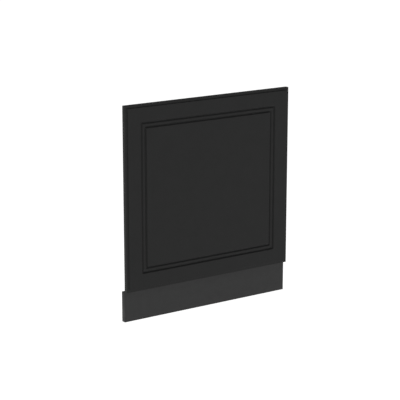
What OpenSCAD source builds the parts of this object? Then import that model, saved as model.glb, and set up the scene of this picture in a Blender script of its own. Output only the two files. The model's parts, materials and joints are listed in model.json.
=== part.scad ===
// Decor front of a 60 cm dishwasher with its separate plinth.
// Millimetres, +Z up, the face looks along -Y. The origin is the middle of the front's back face,
// the face that lies on the appliance's door.

/* [Front] */
// Width of the front
front_w = 596; // [396:1:796]
// Height of the front
front_h = 570; // [500:1:720]
// Thickness of the front
front_t = 16; // [16:1:22]
// Thickness of the foil that wraps the face and the edges
foil_t = 0.4; // [0.3:0.1:0.6]
// Thickness of the white sheet on the back
back_sheet_t = 0.3; // [0.2:0.1:0.5]

/* [Routed profile] */
// Width of the lowered ledge round the edge of the face
ledge_w = 8; // [4:0.5:10]
// Depth of the ledge below the face
ledge_d = 3.5; // [1:0.5:4]
// Width of the slope from the ledge up to the face
riser_w = 1; // [1:0.5:4]
// Distance from the edge to the middle of the outer groove
outer_groove_at = 56; // [40:1:80]
// Distance from the middle of the outer groove to the middle of the inner groove
groove_spacing = 13.5; // [10:0.5:20]
// Width of a groove at its mouth
groove_w = 7; // [3:0.5:8]
// Width of a groove at its floor
groove_floor_w = 2; // [1:0.5:2.5]
// Depth of a groove
groove_d = 4; // [2:0.5:5]
// Depth of the bead between the grooves below the face
bead_d = 1; // [0.5:0.1:1.5]

/* [Plinth] */
// Height of the plinth
plinth_h = 95; // [80:1:150]
// Thickness of the plinth
plinth_t = 16; // [16:1:18]
// Gap between the top of the plinth and the bottom edge of the front
plinth_gap = 1; // [1:0.5:5]
// How far the plinth stands behind the back face of the front
plinth_setback = 1; // [0.5:0.5:60]
// Thickness of the laminate on the plinth's two faces
laminate_t = 0.5; // [0.3:0.1:0.8]
// Thickness of the bands on the plinth's four edges
band_t = 1; // [0.5:0.1:2]

/* [Hangers] */
// Distance from the middle of the front to each hanger
hanger_x = 180; // [100:1:220]
// Height of the hangers above the middle of the front
hanger_z = 165; // [100:1:180]
// Width of a hanger's plate
hanger_w = 30; // [24:1:40]
// Height of a hanger's plate
hanger_h = 56; // [50:1:64]
// Thickness of the steel
hanger_t = 2; // [1.5:0.5:2.5]
// Width of the hook
hook_w = 18; // [12:1:22]
// Length of the hook's downward tongue
hook_drop = 16; // [12:1:18]
// Clear gap behind the hook's tongue
hook_gap = 5; // [4.5:0.5:6]

/* [Screw holes for the appliance] */
// Distance between the left and right holes
door_hole_dx = 500; // [300:10:520]
// Distance between the upper and lower holes
door_hole_dz = 240; // [100:10:300]
// Height of the middle of the hole pattern, below the middle of the front
door_hole_drop = 110; // [60:5:120]
// Diameter of the holes
door_hole_d = 2.5; // [2:0.1:3]
// Depth of the holes from the back face
door_hole_depth = 11; // [8:0.5:11]
// Diameter of the cleared ring round each hole in the white sheet
door_hole_rim_d = 4; // [3.5:0.5:6]

/* [Leg clips] */
// Distance from the middle of the plinth to each leg
leg_x = 230; // [120:1:250]
// Diameter of the leg that a jaw grips
leg_d = 28; // [25:1:32]
// Wall thickness of a jaw
jaw_wall = 3; // [2.5:0.5:4]
// Height of a jaw
jaw_h = 16; // [12:1:18]
// Angle that a jaw leaves open at the back
jaw_open_angle = 110; // [90:5:130]
// Sideways travel of a jaw each way from the middle
jaw_travel = 12; // [6:1:14]
// Clearance between a jaw's foot and its channel
slide_clearance = 0.3; // [0.2:0.1:0.5]

/* [Hidden] */

$fn = 64;
over = 1;                       // how far a cutter runs past what it cuts
anthracite = "#2d2e30";
plinth_grey = "#3a3b3d";

// Front
face_y = -front_t;
bottom_z = -front_h / 2;
inner_groove_at = outer_groove_at + groove_spacing;
moulding_reach = inner_groove_at + groove_w;

// Plinth
plinth_y = plinth_setback;
plinth_back_y = plinth_y + plinth_t;
plinth_top_z = bottom_z - plinth_gap;
floor_z = plinth_top_z - plinth_h;
plinth_mid_z = floor_z + plinth_h / 2;

// Screws: chipboard screws with a pan head and a cross recess
hanger_screw_d = 4;
hanger_screw_l = 13;
clip_screw_d = 3.5;
clip_screw_l = 15;
screw_clearance = 0.05;
hanger_screw_dz = hanger_h - 16;

// Hook: a tongue cut out of the plate, bent out and then down
shelf_z = hanger_h / 2 - 18;
bend_r = 1.5;
hook_reach = 2 * hanger_t + hook_gap;
window_h = hook_drop + hanger_t;
plate_corner_r = 4;

// Leg clips: base plate, channel for the foot, and two lips that keep the foot in
base_t = 3;
foot_w = 20;
foot_h = 20;
foot_t = 2.4;
channel_wall = 2.5;
channel_depth = foot_t + 2 * slide_clearance;
channel_h = foot_h + 2 * slide_clearance;
channel_w = foot_w + 2 * (jaw_travel + slide_clearance);
lip_t = 2;
lip_reach = 3;
base_w = channel_w + 2 * channel_wall;
base_ear = 8;
base_h = channel_h + 2 * channel_wall + 2 * base_ear;
clip_screw_dz = base_h - base_ear;
neck_h = channel_h - 2 * lip_reach - 2 * slide_clearance;
neck_w = 14;
channel_y = plinth_back_y + base_t;
lip_y = channel_y + channel_depth;
jaw_r = leg_d / 2;
jaw_standoff = 2;
leg_y = lip_y + lip_t + jaw_standoff + jaw_wall + jaw_r;

// Outline of the ledge cutter: x runs inwards from the edge, y is the depth below the face
ledge_profile = [
    [-over, -over],
    [ledge_w + riser_w * (1 + over / ledge_d), -over],
    [ledge_w, ledge_d],
    [-over, ledge_d]
];

// Outline of the cutter for the two grooves and the bead between them
half_mouth = groove_w / 2;
half_floor = groove_floor_w / 2;
groove_profile = [
    [outer_groove_at - half_mouth, -over],
    [outer_groove_at - half_mouth, 0],
    [outer_groove_at - half_floor, groove_d],
    [outer_groove_at + half_floor, groove_d],
    [outer_groove_at + half_mouth, bead_d],
    [inner_groove_at - half_mouth, bead_d],
    [inner_groove_at - half_floor, groove_d],
    [inner_groove_at + half_floor, groove_d],
    [inner_groove_at + half_mouth, 0],
    [inner_groove_at + half_mouth, -over]
];

// A profile run round all four sides of the face and mitred at the corners
module mitred_ring(profile, depth) {
    for (side = [0:3]) {
        along = side % 2 == 0 ? front_w : front_h;
        across = side % 2 == 0 ? front_h : front_w;
        rotate([0, 90 * side, 0])
            translate([0, 0, -across / 2])
                intersection() {
                    translate([0, face_y + depth, 0])
                        rotate([0, -90, 0])
                            linear_extrude(height = along + 4 * over, center = true)
                                polygon(profile);
                    rotate([90, 0, 0])
                        linear_extrude(height = front_t + 2 * over)
                            polygon([
                                [-along / 2 - 2 * over, -2 * over],
                                [along / 2 + 2 * over, -2 * over],
                                [along / 2 - moulding_reach, moulding_reach],
                                [-along / 2 + moulding_reach, moulding_reach]
                            ]);
                }
    }
}

// The routed board, with its face and its four edges moved inwards by skin
module routed_board(skin, back_y) {
    difference() {
        translate([-front_w / 2 + skin, face_y + skin, bottom_z + skin])
            cube([front_w - 2 * skin, back_y - face_y - skin, front_h - 2 * skin]);
        mitred_ring(ledge_profile, skin);
        mitred_ring(groove_profile, skin);
    }
}

// Copies of its children at the places of the hanger screws
module at_hanger_screws() {
    for (side = [-1, 1])
        for (row = [-1, 1])
            translate([side * hanger_x, 0, hanger_z + row * hanger_screw_dz / 2])
                children();
}

// Copies of its children at the places of the clip screws
module at_clip_screws() {
    for (side = [-1, 1])
        for (row = [-1, 1])
            translate([side * leg_x, plinth_back_y, plinth_mid_z + row * clip_screw_dz / 2])
                children();
}

// A hole along Y from y = 0 into the board, drilled from the back
module hole_from_back(d, depth) {
    translate([0, over, 0])
        rotate([90, 0, 0])
            cylinder(d = d, h = depth + over);
}

module hanger_screw_holes() {
    at_hanger_screws()
        hole_from_back(hanger_screw_d + 2 * screw_clearance, hanger_screw_l - hanger_t + 0.5);
}

// The four blind holes that the appliance's own screws go into
module door_screw_holes(d) {
    for (side = [-1, 1])
        for (row = [-1, 1])
            translate([side * door_hole_dx / 2, 0, -door_hole_drop + row * door_hole_dz / 2])
                hole_from_back(d, door_hole_depth);
}

// A rectangle in the plane of the plate with round corners, w wide and h high, t thick along Y
module round_plate(w, h, t, r) {
    translate([0, t, 0])
        rotate([90, 0, 0])
            linear_extrude(height = t) {
                square([w - 2 * r, h], center = true);
                square([w, h - 2 * r], center = true);
                for (x = [-1, 1])
                    for (y = [-1, 1])
                        translate([x * (w / 2 - r), y * (h / 2 - r)])
                            circle(r = r);
            }
}

module front_core() {
    color("#8a6b48")
        difference() {
            routed_board(foil_t, -back_sheet_t);
            hanger_screw_holes();
            door_screw_holes(door_hole_d);
        }
}

module front_foil() {
    color(anthracite)
        difference() {
            routed_board(0, 0);
            routed_board(foil_t, over);
        }
}

module front_back_sheet() {
    color("#eeeeec")
        difference() {
            translate([-front_w / 2 + foil_t, -back_sheet_t, bottom_z + foil_t])
                cube([front_w - 2 * foil_t, back_sheet_t, front_h - 2 * foil_t]);
            hanger_screw_holes();
            door_screw_holes(door_hole_rim_d);
        }
}

// Side view of the hook, x along Y and y along Z: a shelf, a bend and a tongue that points down
module hook_section() {
    outer_r = bend_r + hanger_t;
    translate([0, shelf_z - hanger_t])
        square([hook_reach - outer_r, hanger_t]);
    translate([hook_reach - hanger_t, shelf_z - hanger_t - hook_drop])
        square([hanger_t, hook_drop + hanger_t - outer_r]);
    translate([hook_reach - outer_r, shelf_z - outer_r])
        intersection() {
            difference() {
                circle(r = outer_r);
                circle(r = bend_r);
            }
            square(outer_r);
        }
}

// Hook plate: a screwed plate, and a hook that is cut out of it and leaves a window
module hanger(side) {
    hook_h = hook_drop + 2 * hanger_t;
    color("#b9bcc0")
        translate([side * hanger_x, 0, hanger_z])
            difference() {
                union() {
                    difference() {
                        round_plate(hanger_w, hanger_h, hanger_t, plate_corner_r);
                        translate([-hook_w / 2 - 1, -over, shelf_z - hanger_t - window_h])
                            cube([hook_w + 2, hanger_t + 2 * over, window_h]);
                    }
                    intersection() {
                        rotate([90, 0, 90])
                            linear_extrude(height = hook_w, center = true)
                                hook_section();
                        translate([0, 0, shelf_z - hanger_t - hook_drop + hook_h / 2])
                            round_plate(hook_w, hook_h, hook_reach, plate_corner_r / 2);
                    }
                }
                for (row = [-1, 1])
                    translate([0, -over, row * hanger_screw_dz / 2])
                        rotate([-90, 0, 0])
                            cylinder(d = hanger_screw_d + 0.5, h = hanger_t + 2 * over);
            }
}

module hanger_left() { hanger(-1); }

module hanger_right() { hanger(1); }

// Pan head screw driven towards -Y, with the underside of its head at y = 0
module screw(d, l) {
    head_d = 2 * d;
    head_h = 0.6 * d;
    tip = d;
    recess = 1.1 * d;
    slot = 0.28 * d;
    difference() {
        rotate([90, 0, 0])
            union() {
                cylinder(d = d, h = l - tip);
                translate([0, 0, l - tip])
                    cylinder(d1 = d, d2 = 0.6, h = tip);
                translate([0, 0, -head_h / 2])
                    cylinder(d = head_d, h = head_h / 2);
                translate([0, 0, -head_h])
                    cylinder(d1 = 0.72 * head_d, d2 = head_d, h = head_h / 2);
            }
        for (turn = [0, 90])
            rotate([0, turn + 45, 0])
                translate([-recess / 2, head_h * 0.35, -slot / 2])
                    cube([recess, head_h, slot]);
    }
}

module hanger_screws() {
    color("#c9ccd0")
        at_hanger_screws()
            translate([0, hanger_t, 0])
                screw(hanger_screw_d, hanger_screw_l);
}

// A cuboid piece of the plinth: left and right ends, front and back, bottom and top
module plinth_slab(x0, x1, y0, y1, z0, z1) {
    translate([x0, plinth_y + y0, floor_z + z0])
        cube([x1 - x0, y1 - y0, z1 - z0]);
}

module plinth_screw_holes() {
    at_clip_screws()
        hole_from_back(clip_screw_d + 2 * screw_clearance, clip_screw_l - base_t + 0.5);
}

module plinth_core() {
    half = front_w / 2 - band_t;
    color("#b08d5f")
        difference() {
            plinth_slab(-half, half, laminate_t, plinth_t - laminate_t, band_t, plinth_h - band_t);
            plinth_screw_holes();
        }
}

module plinth_front_laminate() {
    half = front_w / 2 - band_t;
    color(plinth_grey)
        plinth_slab(-half, half, 0, laminate_t, band_t, plinth_h - band_t);
}

module plinth_back_laminate() {
    half = front_w / 2 - band_t;
    color("#e4e2dc")
        difference() {
            plinth_slab(-half, half, plinth_t - laminate_t, plinth_t, band_t, plinth_h - band_t);
            plinth_screw_holes();
        }
}

module plinth_band_left() {
    color(plinth_grey)
        plinth_slab(-front_w / 2, -front_w / 2 + band_t, 0, plinth_t, 0, plinth_h);
}

module plinth_band_right() {
    color(plinth_grey)
        plinth_slab(front_w / 2 - band_t, front_w / 2, 0, plinth_t, 0, plinth_h);
}

module plinth_band_top() {
    half = front_w / 2 - band_t;
    color(plinth_grey)
        plinth_slab(-half, half, 0, plinth_t, plinth_h - band_t, plinth_h);
}

module plinth_band_bottom() {
    half = front_w / 2 - band_t;
    color(plinth_grey)
        plinth_slab(-half, half, 0, plinth_t, 0, band_t);
}

// Base plate with a channel along X, closed at both ends, and a lip along each long side
module clip_base(side) {
    lipped_h = channel_h + 2 * channel_wall;
    slot_h = channel_h - 2 * lip_reach;
    color("#1f2021")
        translate([side * leg_x, plinth_back_y, plinth_mid_z])
            difference() {
                union() {
                    round_plate(base_w, base_h, base_t, plate_corner_r);
                    translate([-base_w / 2, 0, -lipped_h / 2])
                        cube([base_w, base_t + channel_depth + lip_t, lipped_h]);
                }
                translate([-channel_w / 2, base_t, -channel_h / 2])
                    cube([channel_w, channel_depth, channel_h]);
                translate([-channel_w / 2, base_t, -slot_h / 2])
                    cube([channel_w, channel_depth + lip_t + over, slot_h]);
                for (row = [-1, 1])
                    translate([0, -over, row * clip_screw_dz / 2])
                        rotate([-90, 0, 0])
                            cylinder(d = clip_screw_d + 0.5, h = base_t + 2 * over);
            }
}

module clip_base_left() { clip_base(-1); }

module clip_base_right() { clip_base(1); }

module clip_screws() {
    color("#c9ccd0")
        at_clip_screws()
            translate([0, base_t, 0])
                screw(clip_screw_d, clip_screw_l);
}

// Jaw: a foot that slides in the channel, a neck, and a sprung C that opens to the back
module clip_jaw(side) {
    ring_r = jaw_r + jaw_wall;
    lip_angle = jaw_open_angle / 2;
    mouth = 2 * ring_r;
    color("#1a1b1c")
        translate([side * leg_x, 0, plinth_mid_z]) {
            difference() {
                union() {
                    translate([-foot_w / 2, channel_y + slide_clearance, -foot_h / 2])
                        cube([foot_w, foot_t, foot_h]);
                    translate([-neck_w / 2, channel_y + slide_clearance, -neck_h / 2])
                        cube([neck_w, leg_y - jaw_r - channel_y - slide_clearance, neck_h]);
                    translate([0, leg_y, -jaw_h / 2])
                        cylinder(r = ring_r, h = jaw_h);
                }
                translate([0, leg_y, -jaw_h / 2 - over])
                    cylinder(r = jaw_r, h = jaw_h + 2 * over);
                translate([0, leg_y, -jaw_h / 2 - over])
                    linear_extrude(height = jaw_h + 2 * over)
                        polygon([
                            [0, 0],
                            [mouth * sin(lip_angle), mouth * cos(lip_angle)],
                            [0, 2 * mouth],
                            [-mouth * sin(lip_angle), mouth * cos(lip_angle)]
                        ]);
            }
            for (end = [-1, 1])
                translate([
                    end * (jaw_r + jaw_wall / 2) * sin(lip_angle),
                    leg_y + (jaw_r + jaw_wall / 2) * cos(lip_angle),
                    -jaw_h / 2
                ])
                    cylinder(r = jaw_wall / 2, h = jaw_h);
        }
}

module clip_jaw_left() { clip_jaw(-1); }

module clip_jaw_right() { clip_jaw(1); }

front_core();
front_foil();
front_back_sheet();
hanger_left();
hanger_right();
hanger_screws();
plinth_core();
plinth_front_laminate();
plinth_back_laminate();
plinth_band_left();
plinth_band_right();
plinth_band_top();
plinth_band_bottom();
clip_base_left();
clip_base_right();
clip_screws();
clip_jaw_left();
clip_jaw_right();
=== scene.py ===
import json
import math

import bmesh
import bpy
from mathutils import Matrix, Vector


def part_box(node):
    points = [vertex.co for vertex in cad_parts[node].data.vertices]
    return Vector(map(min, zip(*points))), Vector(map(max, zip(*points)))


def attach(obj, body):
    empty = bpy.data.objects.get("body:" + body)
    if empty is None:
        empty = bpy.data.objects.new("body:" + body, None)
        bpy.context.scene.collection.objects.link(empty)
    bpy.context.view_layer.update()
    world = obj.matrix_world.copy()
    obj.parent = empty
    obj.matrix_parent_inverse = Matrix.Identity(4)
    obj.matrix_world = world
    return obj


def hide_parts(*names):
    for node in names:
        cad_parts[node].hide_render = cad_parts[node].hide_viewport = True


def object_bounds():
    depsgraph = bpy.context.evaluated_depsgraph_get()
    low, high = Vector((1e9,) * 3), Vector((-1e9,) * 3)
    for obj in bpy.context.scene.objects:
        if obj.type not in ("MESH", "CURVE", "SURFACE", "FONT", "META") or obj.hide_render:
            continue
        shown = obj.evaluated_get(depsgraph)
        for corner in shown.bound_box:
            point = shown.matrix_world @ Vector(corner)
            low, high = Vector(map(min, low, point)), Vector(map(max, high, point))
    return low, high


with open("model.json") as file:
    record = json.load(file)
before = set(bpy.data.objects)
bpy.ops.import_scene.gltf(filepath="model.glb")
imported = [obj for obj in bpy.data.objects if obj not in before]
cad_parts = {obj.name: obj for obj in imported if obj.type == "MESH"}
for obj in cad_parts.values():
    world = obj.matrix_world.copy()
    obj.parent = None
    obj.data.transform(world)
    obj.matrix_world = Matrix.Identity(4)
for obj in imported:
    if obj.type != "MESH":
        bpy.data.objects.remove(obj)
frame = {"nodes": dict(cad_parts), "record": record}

# Decor front of a built-in dishwasher with its plinth. Metres, in the frame of the CAD model:
# +Z up, the face looks along -Y, the origin is the middle of the front's back face.

cad_low, cad_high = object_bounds()
MM = 0.001

# ---------------------------------------------------------------- sizes taken from the frame

foil_low, foil_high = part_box("front_foil")
core_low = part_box("front_core")[0]
FRONT_W = foil_high.x - foil_low.x
FRONT_H = foil_high.z - foil_low.z
FRONT_T = foil_high.y - foil_low.y
FACE_Y = foil_low.y
FOIL_T = core_low.y - foil_low.y
FLOOR_Z = cad_low.z
plinth_low = Vector(map(min, zip(*(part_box(f"plinth_band_{side}")[0] for side in ("left", "right")))))
plinth_high = Vector(map(max, zip(*(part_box(f"plinth_band_{side}")[1] for side in ("left", "right")))))

# ---------------------------------------------------------------- routed profile of the front

LEDGE_W = 8.0 * MM
LEDGE_D = 3.5 * MM
RISER_W = 1.0 * MM
OUTER_GROOVE = 56.0 * MM
INNER_GROOVE = 69.5 * MM
GROOVE_HALF_W = 3.5 * MM
GROOVE_HALF_FLOOR = 1.0 * MM
GROOVE_D = 4.0 * MM
BEAD_D = 1.0 * MM
BEAD_CROWN = 0.35 * MM
EASED_STEPS = 5
CORNER_STEPS = 5
SHARP_CORNER = 0.2 * MM
BOARD_CORNER = 0.8 * MM
CUTTER_CORNER = 5.0 * MM
MOUTH_MARGIN = 1.2 * MM
OUTER_MOUTH_EASE = 1.0 * MM
INNER_MOUTH_EASE = 0.6 * MM
FLOOR_EASE = 0.9 * MM
RISER_EASE = 0.35 * MM
EDGE_EASE = 0.6 * MM
BEAD_EASE = 2.0 * MM
LEDGE_MARGIN = 1.0 * MM

# ---------------------------------------------------------------- small roundings and screws

PLATE_EASE = 0.35 * MM
MOULDED_EASE = 0.45 * MM
BAND_EASE = 0.5 * MM
SHARP_ANGLE = math.radians(30.0)
SMOOTH_ANGLE = math.radians(35.0)
FLAT_ANGLE = math.radians(1.0)
SAME_PLACE = 0.001 * MM
ON_SIDE = 0.01 * MM
SCREW_STEPS = 28
SCREWS = {
    "hanger_screws": ("hanger_pan_screws", 4.0 * MM),
    "clip_screws": ("clip_pan_screws", 3.5 * MM),
}
SCREW_EASED_STEPS = 4
FIRST_TURN = 25.0
TURN_STEP = 67.0

# Times the diameter of the shank
HEAD_HEIGHT = 0.6
HEAD_TOP = 0.70
HEAD_CROWN = 0.38
RIM_EASE = 0.10
UNDERSIDE_EASE = 0.05
THREAD_PITCH = 0.42
THREAD_ROOT = 0.34
CROSS_SPAN = 1.1
CROSS_WIDTH = 0.26

# Times the height of the head
RIM_HEIGHT = 0.32
CROSS_LIFT = 0.9

# Times the pitch of the thread
THREAD_START = 0.3
THREAD_CREST = 0.3
THREAD_FOOT = 0.6

# How far the cross narrows towards its floor
CROSS_TAPER = (0.45, 1.0, 0.7)


# ================================================================ materials

def start_material(name, roughness, specular=0.5, metallic=0.0):
    """A material with its shader's uniform values set, and the Object coordinates its patterns read."""
    material = bpy.data.materials.new(name)
    material.use_nodes = True
    tree = material.node_tree
    shader = tree.nodes["Principled BSDF"]
    shader.inputs["Roughness"].default_value = roughness
    shader.inputs["Specular IOR Level"].default_value = specular
    shader.inputs["Metallic"].default_value = metallic
    coordinates = tree.nodes.new("ShaderNodeTexCoord")
    return material, tree, shader, coordinates.outputs["Object"]


def stretched(tree, place, scale):
    """Object coordinates scaled unevenly, for a pattern that runs in one direction."""
    mapping = tree.nodes.new("ShaderNodeMapping")
    mapping.inputs["Scale"].default_value = scale
    tree.links.new(place, mapping.inputs["Vector"])
    return mapping.outputs["Vector"]


def noise(tree, place, size, detail=3.0, roughness=0.5, distortion=0.0):
    """Noise whose features are about size metres across."""
    texture = tree.nodes.new("ShaderNodeTexNoise")
    texture.inputs["Scale"].default_value = 1.0 / size
    texture.inputs["Detail"].default_value = detail
    texture.inputs["Roughness"].default_value = roughness
    texture.inputs["Distortion"].default_value = distortion
    tree.links.new(place, texture.inputs["Vector"])
    return texture.outputs["Fac"]


def cells(tree, place, size):
    """Distance to the nearest cell centre, for grain and chips about size metres across."""
    texture = tree.nodes.new("ShaderNodeTexVoronoi")
    texture.inputs["Scale"].default_value = 1.0 / size
    tree.links.new(place, texture.inputs["Vector"])
    return texture.outputs["Distance"], texture.outputs["Color"]


def ramp(tree, value, stops):
    """A colour ramp with the given (position, colour) stops."""
    node = tree.nodes.new("ShaderNodeValToRGB")
    elements = node.color_ramp.elements
    while len(elements) < len(stops):
        elements.new(0.5)
    for element, (position, colour) in zip(elements, stops):
        element.position = position
        element.color = (*colour, 1.0)
    tree.links.new(value, node.inputs["Fac"])
    return node.outputs["Color"]


def spread(tree, value, low, high):
    """The value, from 0.3 to 0.7 as noise gives it, spread over low to high."""
    node = tree.nodes.new("ShaderNodeMapRange")
    node.inputs["From Min"].default_value = 0.3
    node.inputs["From Max"].default_value = 0.7
    node.inputs["To Min"].default_value = low
    node.inputs["To Max"].default_value = high
    tree.links.new(value, node.inputs["Value"])
    return node.outputs["Result"]


def bump(tree, shader, layers):
    """Bumps one over another: (height, strength, distance) for each layer."""
    normal = None
    for height, strength, distance in layers:
        node = tree.nodes.new("ShaderNodeBump")
        node.inputs["Strength"].default_value = strength
        node.inputs["Distance"].default_value = distance
        tree.links.new(height, node.inputs["Height"])
        if normal is not None:
            tree.links.new(normal, node.inputs["Normal"])
        normal = node.outputs["Normal"]
    tree.links.new(normal, shader.inputs["Normal"])


def shades(colour, amount):
    """The colour a little darker and a little lighter."""
    return [tuple(channel * (1.0 + side * amount) for channel in colour) for side in (-1, 1)]


def speckle(tree, shader, pattern, colour, amount):
    """Base colour that turns a little darker and lighter with a fine pattern."""
    dark, light = shades(colour, amount)
    tree.links.new(ramp(tree, pattern, [(0.35, dark), (0.65, light)]), shader.inputs["Base Color"])


def make_foil():
    """Satin matt anthracite foil: a fine pressed grain over faint waves, slightly uneven sheen."""
    material, tree, shader, place = start_material("anthracite_foil", 0.55, specular=0.15)
    grain = noise(tree, place, 0.0012, detail=3.0, roughness=0.6)
    speckle(tree, shader, grain, (0.0166, 0.0168, 0.0167), 0.12)
    sheen = noise(tree, place, 0.035, detail=4.0)
    tree.links.new(spread(tree, sheen, 0.52, 0.58), shader.inputs["Roughness"])
    wave = noise(tree, place, 0.018, detail=1.0)
    bump(tree, shader, [(wave, 0.12, 0.0002), (grain, 0.6, 0.0001)])
    return material


def make_laminate():
    """Smooth matt laminate of the plinth, a little lighter than the foil."""
    material, tree, shader, place = start_material("plinth_laminate", 0.6, specular=0.3)
    grain = noise(tree, place, 0.0007, detail=2.0)
    speckle(tree, shader, grain, (0.0248, 0.0249, 0.0249), 0.07)
    sheen = noise(tree, place, 0.02, detail=3.0)
    tree.links.new(spread(tree, sheen, 0.55, 0.64), shader.inputs["Roughness"])
    bump(tree, shader, [(grain, 0.4, 0.00008)])
    return material


def make_melamine(name, colour):
    """Pearl textured melamine paper."""
    material, tree, shader, place = start_material(name, 0.45)
    pearl = noise(tree, place, 0.0012, detail=1.0)
    speckle(tree, shader, pearl, colour, 0.03)
    tree.links.new(spread(tree, pearl, 0.38, 0.52), shader.inputs["Roughness"])
    bump(tree, shader, [(pearl, 0.6, 0.0001)])
    return material


def make_fibreboard():
    """Raw fibreboard: fine brown fibres."""
    material, tree, shader, place = start_material("fibreboard", 0.85, specular=0.2)
    fibres = noise(tree, stretched(tree, place, (1.0, 3.0, 1.0)), 0.0007, detail=5.0, roughness=0.7)
    brown = ramp(tree, fibres, [(0.3, (0.17, 0.105, 0.055)), (0.7, (0.36, 0.245, 0.14))])
    tree.links.new(brown, shader.inputs["Base Color"])
    bump(tree, shader, [(fibres, 0.5, 0.0001)])
    return material


def make_chipboard():
    """Raw chipboard: pressed chips of several woods."""
    material, tree, shader, place = start_material("chipboard", 0.85, specular=0.2)
    distance, colour = cells(tree, stretched(tree, place, (0.5, 1.6, 1.0)), 0.0035)
    grey = tree.nodes.new("ShaderNodeRGBToBW")
    tree.links.new(colour, grey.inputs["Color"])
    wood = [(0.1, (0.25, 0.16, 0.085)), (0.5, (0.45, 0.32, 0.18)), (0.9, (0.60, 0.46, 0.29))]
    tree.links.new(ramp(tree, grey.outputs["Val"], wood), shader.inputs["Base Color"])
    bump(tree, shader, [(distance, 0.6, 0.0002)])
    return material


def make_zinc(name, colour, roughness):
    """Bright zinc plating: cloudy tone and fine drawn scratches."""
    material, tree, shader, place = start_material(name, roughness, metallic=1.0)
    dark, light = shades(colour, 0.12)
    cloud = noise(tree, place, 0.006, detail=4.0)
    tree.links.new(ramp(tree, cloud, [(0.3, dark), (0.7, light)]), shader.inputs["Base Color"])
    drawn = noise(tree, stretched(tree, place, (12.0, 1.0, 1.0)), 0.004, detail=4.0)
    tree.links.new(spread(tree, drawn, roughness - 0.07, roughness + 0.1), shader.inputs["Roughness"])
    bump(tree, shader, [(drawn, 0.1, 0.00004)])
    return material


def make_black_plastic():
    """Moulded black plastic with a spark-eroded texture."""
    material, tree, shader, place = start_material("black_plastic", 0.5)
    dark, light = shades((0.017, 0.017, 0.018), 0.1)
    tone = noise(tree, place, 0.01, detail=2.0)
    tree.links.new(ramp(tree, tone, [(0.3, dark), (0.7, light)]), shader.inputs["Base Color"])
    grain = noise(tree, place, 0.0004, detail=2.0)
    tree.links.new(spread(tree, grain, 0.42, 0.58), shader.inputs["Roughness"])
    bump(tree, shader, [(grain, 0.3, 0.00005)])
    return material


FINISHES = {
    "anthracite_foil": make_foil(),
    "plinth_laminate": make_laminate(),
    "white_melamine": make_melamine("white_melamine", (0.80, 0.80, 0.785)),
    "backing_laminate": make_melamine("backing_laminate", (0.70, 0.69, 0.65)),
    "fibreboard": make_fibreboard(),
    "chipboard": make_chipboard(),
    "zinc_steel": make_zinc("zinc_steel", (0.60, 0.61, 0.63), 0.33),
    "screw_steel": make_zinc("screw_steel", (0.66, 0.67, 0.69), 0.27),
    "black_plastic": make_black_plastic(),
}
SLOT_OF = {part["node"]: part["material_slot"] for part in frame["record"]["subparts"]}
BODY_OF = {
    node: body
    for body, nodes in frame["record"]["behaviour"]["bodies"].items()
    for node in nodes
}

for node_name, node_object in frame["nodes"].items():
    node_object.data.materials.clear()
    node_object.data.materials.append(FINISHES[SLOT_OF[node_name]])


# ================================================================ pieces

def finish_piece(bm, name, node):
    """Turns the bmesh into a piece that takes the place, the body and the finish of a CAD node."""
    mesh = bpy.data.meshes.new(name)
    bm.to_mesh(mesh)
    bm.free()
    mesh.shade_smooth()
    mesh.set_sharp_from_angle(angle=SMOOTH_ANGLE)
    piece = bpy.data.objects.new(name, mesh)
    bpy.context.scene.collection.objects.link(piece)
    mesh.materials.append(FINISHES[SLOT_OF[node]])
    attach(piece, BODY_OF[node])
    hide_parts(node)


def eased(corners, steps):
    """The outline through (across, along, ease) corners, each rounded over its ease length."""
    points = [Vector(corners[0][:2])]
    for before, corner, after in zip(corners, corners[1:], corners[2:]):
        here = Vector(corner[:2])
        ease = corner[2]
        if ease == 0.0:
            points.append(here)
            continue
        start = here + (Vector(before[:2]) - here).normalized() * ease
        end = here + (Vector(after[:2]) - here).normalized() * ease
        for step in range(steps + 1):
            t = step / steps
            points.append(start.lerp(here, t).lerp(here.lerp(end, t), t))
    points.append(Vector(corners[-1][:2]))
    return points


def sharp_edges(bm):
    """The edges where two faces meet at more than the sharp angle."""
    return [edge for edge in bm.edges if edge.calc_face_angle(0.0) > SHARP_ANGLE]


def soften(bm, edges, ease):
    """Rounds the edges slightly, as tumbling, trimming or moulding leaves them."""
    bmesh.ops.bevel(
        bm, geom=edges, offset=ease, offset_type="OFFSET", segments=2, profile=0.5,
        affect="EDGES", clamp_overlap=True, material=-1,
    )


def merged_copy(node):
    """A bmesh copy of a CAD node's mesh, with its flat faces joined up."""
    bm = bmesh.new()
    bm.from_mesh(frame["nodes"][node].data)
    bmesh.ops.remove_doubles(bm, verts=bm.verts, dist=SAME_PLACE)
    bmesh.ops.dissolve_limit(bm, angle_limit=FLAT_ANGLE, verts=bm.verts, edges=bm.edges)
    return bm


def make_softened(node, name, ease):
    """A metal or plastic part with all its sharp edges slightly rounded."""
    bm = merged_copy(node)
    soften(bm, sharp_edges(bm), ease)
    finish_piece(bm, name, node)


def plinth_sides_at(vertex):
    """The outer sides of the whole plinth that the vertex lies on."""
    return {
        (axis, limit[axis])
        for limit in (plinth_low, plinth_high)
        for axis in range(3)
        if abs(vertex.co[axis] - limit[axis]) < ON_SIDE
    }


def make_edge_band(side):
    """An edge band of the plinth, rounded where two outer sides of the plinth meet."""
    node = "plinth_band_" + side
    bm = merged_copy(node)
    arrises = [
        edge for edge in bm.edges
        if len(plinth_sides_at(edge.verts[0]) & plinth_sides_at(edge.verts[1])) == 2
    ]
    soften(bm, arrises, BAND_EASE)
    finish_piece(bm, "edge_band_" + side, node)


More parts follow.
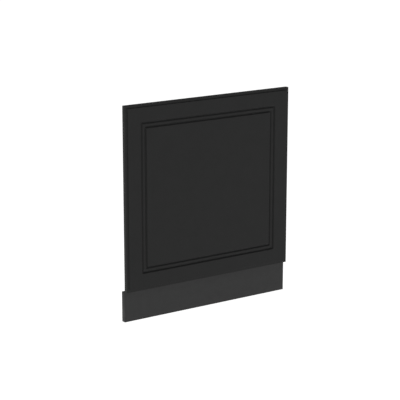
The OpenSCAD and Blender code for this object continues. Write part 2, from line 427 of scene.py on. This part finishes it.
def add_cross_cutter(d):
    """The cross that is pressed into the head of a screw of diameter d."""
    head_h = HEAD_HEIGHT * d
    bm = bmesh.new()
    for turn in (0.0, 90.0):
        arm = bmesh.ops.create_cube(bm, size=1.0)["verts"]
        bmesh.ops.scale(bm, verts=arm, vec=(CROSS_SPAN * d, head_h, CROSS_WIDTH * d))
        deep_end = [vertex for vertex in arm if vertex.co.y < 0.0]
        bmesh.ops.scale(bm, verts=deep_end, vec=CROSS_TAPER)
        bmesh.ops.rotate(bm, verts=arm, matrix=Matrix.Rotation(math.radians(turn), 3, "Y"))
    bmesh.ops.translate(bm, verts=bm.verts, vec=(0.0, CROSS_LIFT * head_h, 0.0))
    mesh = bpy.data.meshes.new("cross_cutter")
    bm.to_mesh(mesh)
    bm.free()
    cutter = bpy.data.objects.new("cross_cutter", mesh)
    bpy.context.scene.collection.objects.link(cutter)
    return cutter


def screw_outline(d, length):
    """Half the outline of a pan head screw driven towards -Y, its head resting at y = 0."""
    head_h = HEAD_HEIGHT * d
    pitch = THREAD_PITCH * d
    corners = [
        (0.0, head_h, 0.0),
        (HEAD_TOP * d, head_h, HEAD_CROWN * d),
        (d, RIM_HEIGHT * head_h, RIM_EASE * d),
        (d, 0.0, UNDERSIDE_EASE * d),
        (THREAD_ROOT * d, 0.0, 0.0),
    ]
    for turn in range(int(length / pitch) - 1):
        start = -(turn + THREAD_START) * pitch
        taper = min(1.0, (length + start) / d)
        corners += [
            (THREAD_ROOT * d * taper, start, 0.0),
            (0.5 * d * taper, start - THREAD_CREST * pitch, 0.0),
            (THREAD_ROOT * d * taper, start - THREAD_FOOT * pitch, 0.0),
        ]
    corners.append((0.0, -length, 0.0))
    return eased(corners, SCREW_EASED_STEPS)


def make_screw_mesh(d, length):
    """One screw: the outline spun round the Y axis, with the cross cut into its head."""
    bm = bmesh.new()
    chain = [bm.verts.new((across, along, 0.0)) for across, along in screw_outline(d, length)]
    edges = [bm.edges.new(pair) for pair in zip(chain, chain[1:])]
    bmesh.ops.spin(
        bm, geom=chain + edges, cent=(0.0, 0.0, 0.0), axis=(0.0, 1.0, 0.0),
        angle=math.radians(360.0), steps=SCREW_STEPS, use_merge=True, use_duplicate=False,
    )
    bmesh.ops.remove_doubles(bm, verts=bm.verts, dist=SAME_PLACE)
    bmesh.ops.recalc_face_normals(bm, faces=bm.faces)
    mesh = bpy.data.meshes.new("screw_blank")
    bm.to_mesh(mesh)
    bm.free()
    blank = bpy.data.objects.new("screw_blank", mesh)
    bpy.context.scene.collection.objects.link(blank)
    cutter = add_cross_cutter(d)
    cut = blank.modifiers.new("cross", "BOOLEAN")
    cut.operation = "DIFFERENCE"
    cut.solver = "EXACT"
    cut.use_self = True
    cut.object = cutter
    graph = bpy.context.evaluated_depsgraph_get()
    screw_mesh = bpy.data.meshes.new_from_object(blank.evaluated_get(graph))
    bpy.data.objects.remove(blank)
    bpy.data.objects.remove(cutter)
    return screw_mesh


def make_screws(node):
    """The four screws of a node, each stopped at its own turn."""
    name, d = SCREWS[node]
    low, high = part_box(node)
    length = high.y - low.y - HEAD_HEIGHT * d
    screw_mesh = make_screw_mesh(d, length)
    bm = bmesh.new()
    places = [(x, z) for x in (low.x + d, high.x - d) for z in (low.z + d, high.z - d)]
    for index, (x, z) in enumerate(places):
        before = len(bm.verts)
        bm.from_mesh(screw_mesh)
        bm.verts.ensure_lookup_table()
        screw = bm.verts[before:]
        turn = Matrix.Rotation(math.radians(FIRST_TURN + TURN_STEP * index), 3, "Y")
        bmesh.ops.rotate(bm, verts=screw, cent=(0.0, 0.0, 0.0), matrix=turn)
        bmesh.ops.translate(bm, verts=screw, vec=(x, low.y + length, z))
    bpy.data.meshes.remove(screw_mesh)
    finish_piece(bm, name, node)


def place_ring(ring, inset, depth, corner):
    """Puts the ring's vertices on a rectangle with rounded corners, parallel to the face."""
    middle_x = FRONT_W / 2 - inset - corner
    middle_z = FRONT_H / 2 - inset - corner
    for index, vertex in enumerate(ring):
        quarter, step = divmod(index, CORNER_STEPS + 1)
        angle = math.radians(90.0) * (quarter + step / CORNER_STEPS)
        right = 1 if quarter in (0, 3) else -1
        top = 1 if quarter in (0, 1) else -1
        vertex.co.x = right * middle_x + corner * math.cos(angle)
        vertex.co.y = FACE_Y + depth
        vertex.co.z = top * middle_z + corner * math.sin(angle)


def next_ring(bm, ring):
    """Extrudes the ring's edges and returns the new ring in the same order."""
    edges = [bm.edges.get((one, other)) for one, other in zip(ring, ring[1:] + ring[:1])]
    made = set(bmesh.ops.extrude_edge_only(bm, edges=edges)["geom"])
    return [
        next(edge.other_vert(v) for edge in v.link_edges if edge.other_vert(v) in made)
        for v in ring
    ]


def corner_at(inset):
    """Corner radius of a ring: a turning cutter rounds the outer side of each groove."""
    for middle in (OUTER_GROOVE, INNER_GROOVE):
        inner_side = middle + GROOVE_HALF_W
        outer_side = middle - GROOVE_HALF_W
        if outer_side - MOUTH_MARGIN < inset < inner_side:
            return max(SHARP_CORNER, min(CUTTER_CORNER, middle + GROOVE_HALF_FLOOR - inset))
    if inset < LEDGE_W - LEDGE_MARGIN:
        return BOARD_CORNER
    return SHARP_CORNER


def make_foil_wrap():
    """The foil: pressed over the ledge, the face, the two grooves and the bead, and round the edges."""
    corners = [
        (0.0, FRONT_T, 0.0),
        (0.0, LEDGE_D, EDGE_EASE),
        (LEDGE_W, LEDGE_D, RISER_EASE),
        (LEDGE_W + RISER_W, 0.0, RISER_EASE),
        (LEDGE_W + RISER_W + MOUTH_MARGIN, 0.0, 0.0),
        (OUTER_GROOVE - GROOVE_HALF_W - MOUTH_MARGIN, 0.0, 0.0),
    ]
    for middle, before, after in (
        (OUTER_GROOVE, 0.0, BEAD_D),
        (INNER_GROOVE, BEAD_D, 0.0),
    ):
        corners += [
            (middle - GROOVE_HALF_W, before, OUTER_MOUTH_EASE),
            (middle - GROOVE_HALF_FLOOR, GROOVE_D, FLOOR_EASE),
            (middle + GROOVE_HALF_FLOOR, GROOVE_D, FLOOR_EASE),
            (middle + GROOVE_HALF_W, after, INNER_MOUTH_EASE),
        ]
        if middle == OUTER_GROOVE:
            bead_middle = (OUTER_GROOVE + INNER_GROOVE) / 2
            corners.append((bead_middle, BEAD_D - BEAD_CROWN, BEAD_EASE))
    corners.append((INNER_GROOVE + GROOVE_HALF_W + MOUTH_MARGIN, 0.0, 0.0))
    bm = bmesh.new()
    ring = bmesh.ops.create_circle(bm, segments=4 * (CORNER_STEPS + 1), radius=1.0)["verts"]
    for index, (inset, depth) in enumerate(eased(corners, EASED_STEPS)):
        if index > 0:
            ring = next_ring(bm, ring)
        place_ring(ring, inset, depth, corner_at(inset))
    bm.faces.new(ring)
    bmesh.ops.recalc_face_normals(bm, faces=bm.faces)
    bm.normal_update()
    field = max(bm.faces, key=lambda face: face.calc_area())
    if field.normal.y > 0:
        bmesh.ops.reverse_faces(bm, faces=bm.faces)
    bmesh.ops.solidify(bm, geom=bm.faces[:], thickness=FOIL_T)
    finish_piece(bm, "foil_wrap", "front_foil")


make_foil_wrap()
for side in ("left", "right"):
    make_softened(f"hanger_{side}", f"hook_plate_{side}", PLATE_EASE)
    make_softened(f"clip_base_{side}", f"leg_clip_base_{side}", MOULDED_EASE)
    make_softened(f"clip_jaw_{side}", f"leg_clip_jaw_{side}", MOULDED_EASE)
for side in ("left", "right", "top", "bottom"):
    make_edge_band(side)
for node_name in SCREWS:
    make_screws(node_name)


# ================================================================ studio

FLOOR_GLOW = 0.88
HORIZON_TOP = 0.14
HORIZON_STRENGTH = 1.0
OVERHEAD_STRENGTH = 0.15
FLOOR_REACH = 30.0
FLOOR_DROP = 0.2 * MM
KEY_AZIMUTH = -35.0
KEY_ELEVATION = 52.0
KEY_DISTANCE = 3.0
KEY_SIZE = 1.2
KEY_POWER = 12.0
CAMERA_SENSOR = 36.0
CAMERA_LENS = 129.0
CAMERA_AZIMUTH = -33.66
CAMERA_ELEVATION = 14.24
CAMERA_DISTANCE = 4.375
CAMERA_AIM = Vector((-0.0365, FACE_Y, -0.0317))


def make_floor():
    """A wide pale floor under the object."""
    bm = bmesh.new()
    bmesh.ops.create_grid(bm, x_segments=1, y_segments=1, size=FLOOR_REACH)
    bmesh.ops.translate(bm, verts=bm.verts, vec=(0.0, 0.0, FLOOR_Z - FLOOR_DROP))
    mesh = bpy.data.meshes.new("studio_floor")
    bm.to_mesh(mesh)
    bm.free()
    floor = bpy.data.objects.new("studio_floor", mesh)
    bpy.context.scene.collection.objects.link(floor)
    material, tree, shader, place = start_material("studio_floor", 0.9, specular=0.0)
    tone = noise(tree, place, 0.8, detail=2.0)
    pale = [(0.3, (0.90, 0.90, 0.90)), (0.7, (0.92, 0.92, 0.92))]
    tree.links.new(ramp(tree, tone, pale), shader.inputs["Base Color"])
    shader.inputs["Emission Color"].default_value = (1.0, 1.0, 1.0, 1.0)
    shader.inputs["Emission Strength"].default_value = FLOOR_GLOW
    mesh.materials.append(material)


def aim_at(thing, target):
    """Turns a lamp or camera so that it looks at the target, upright."""
    thing.rotation_mode = "QUATERNION"
    thing.rotation_quaternion = (target - thing.location).to_track_quat("-Z", "Y")


def add_softbox(name, place, target, size, power):
    """A large square area lamp."""
    data = bpy.data.lights.new(name, "AREA")
    data.shape = "SQUARE"
    data.size = size
    data.energy = power
    lamp = bpy.data.objects.new(name, data)
    bpy.context.scene.collection.objects.link(lamp)
    lamp.location = place
    aim_at(lamp, target)


def add_world():
    """White surroundings at the horizon, dimmer overhead, the same all round."""
    world = bpy.data.worlds.new("studio")
    world.use_nodes = True
    tree = world.node_tree
    background = tree.nodes["Background"]
    background.inputs["Color"].default_value = (1.0, 1.0, 1.0, 1.0)
    place = tree.nodes.new("ShaderNodeTexCoord")
    parts = tree.nodes.new("ShaderNodeSeparateXYZ")
    fade = tree.nodes.new("ShaderNodeMapRange")
    fade.interpolation_type = "SMOOTHSTEP"
    fade.inputs["From Min"].default_value = HORIZON_TOP
    fade.inputs["From Max"].default_value = 2 * HORIZON_TOP
    fade.inputs["To Min"].default_value = HORIZON_STRENGTH
    fade.inputs["To Max"].default_value = OVERHEAD_STRENGTH
    tree.links.new(place.outputs["Generated"], parts.inputs["Vector"])
    tree.links.new(parts.outputs["Z"], fade.inputs["Value"])
    tree.links.new(fade.outputs["Result"], background.inputs["Strength"])
    bpy.context.scene.world = world


def direction(azimuth, elevation):
    """Unit vector from the object towards a viewer: azimuth 0 is in front, on the -Y side."""
    turn = math.radians(azimuth)
    rise = math.radians(elevation)
    flat = math.cos(rise)
    return Vector((math.sin(turn) * flat, -math.cos(turn) * flat, math.sin(rise)))


def add_camera():
    """A long lens to the left of the front and a little above it."""
    data = bpy.data.cameras.new("camera")
    data.sensor_width = CAMERA_SENSOR
    data.lens = CAMERA_LENS
    camera = bpy.data.objects.new("camera", data)
    bpy.context.scene.collection.objects.link(camera)
    camera.location = CAMERA_AIM + direction(CAMERA_AZIMUTH, CAMERA_ELEVATION) * CAMERA_DISTANCE
    aim_at(camera, CAMERA_AIM)
    bpy.context.scene.camera = camera


bpy.context.scene.view_settings.view_transform = "Standard"
make_floor()
add_world()
middle = (cad_low + cad_high) / 2
key_place = middle + direction(KEY_AZIMUTH, KEY_ELEVATION) * KEY_DISTANCE
add_softbox("key", key_place, middle, KEY_SIZE, KEY_POWER)
add_camera()
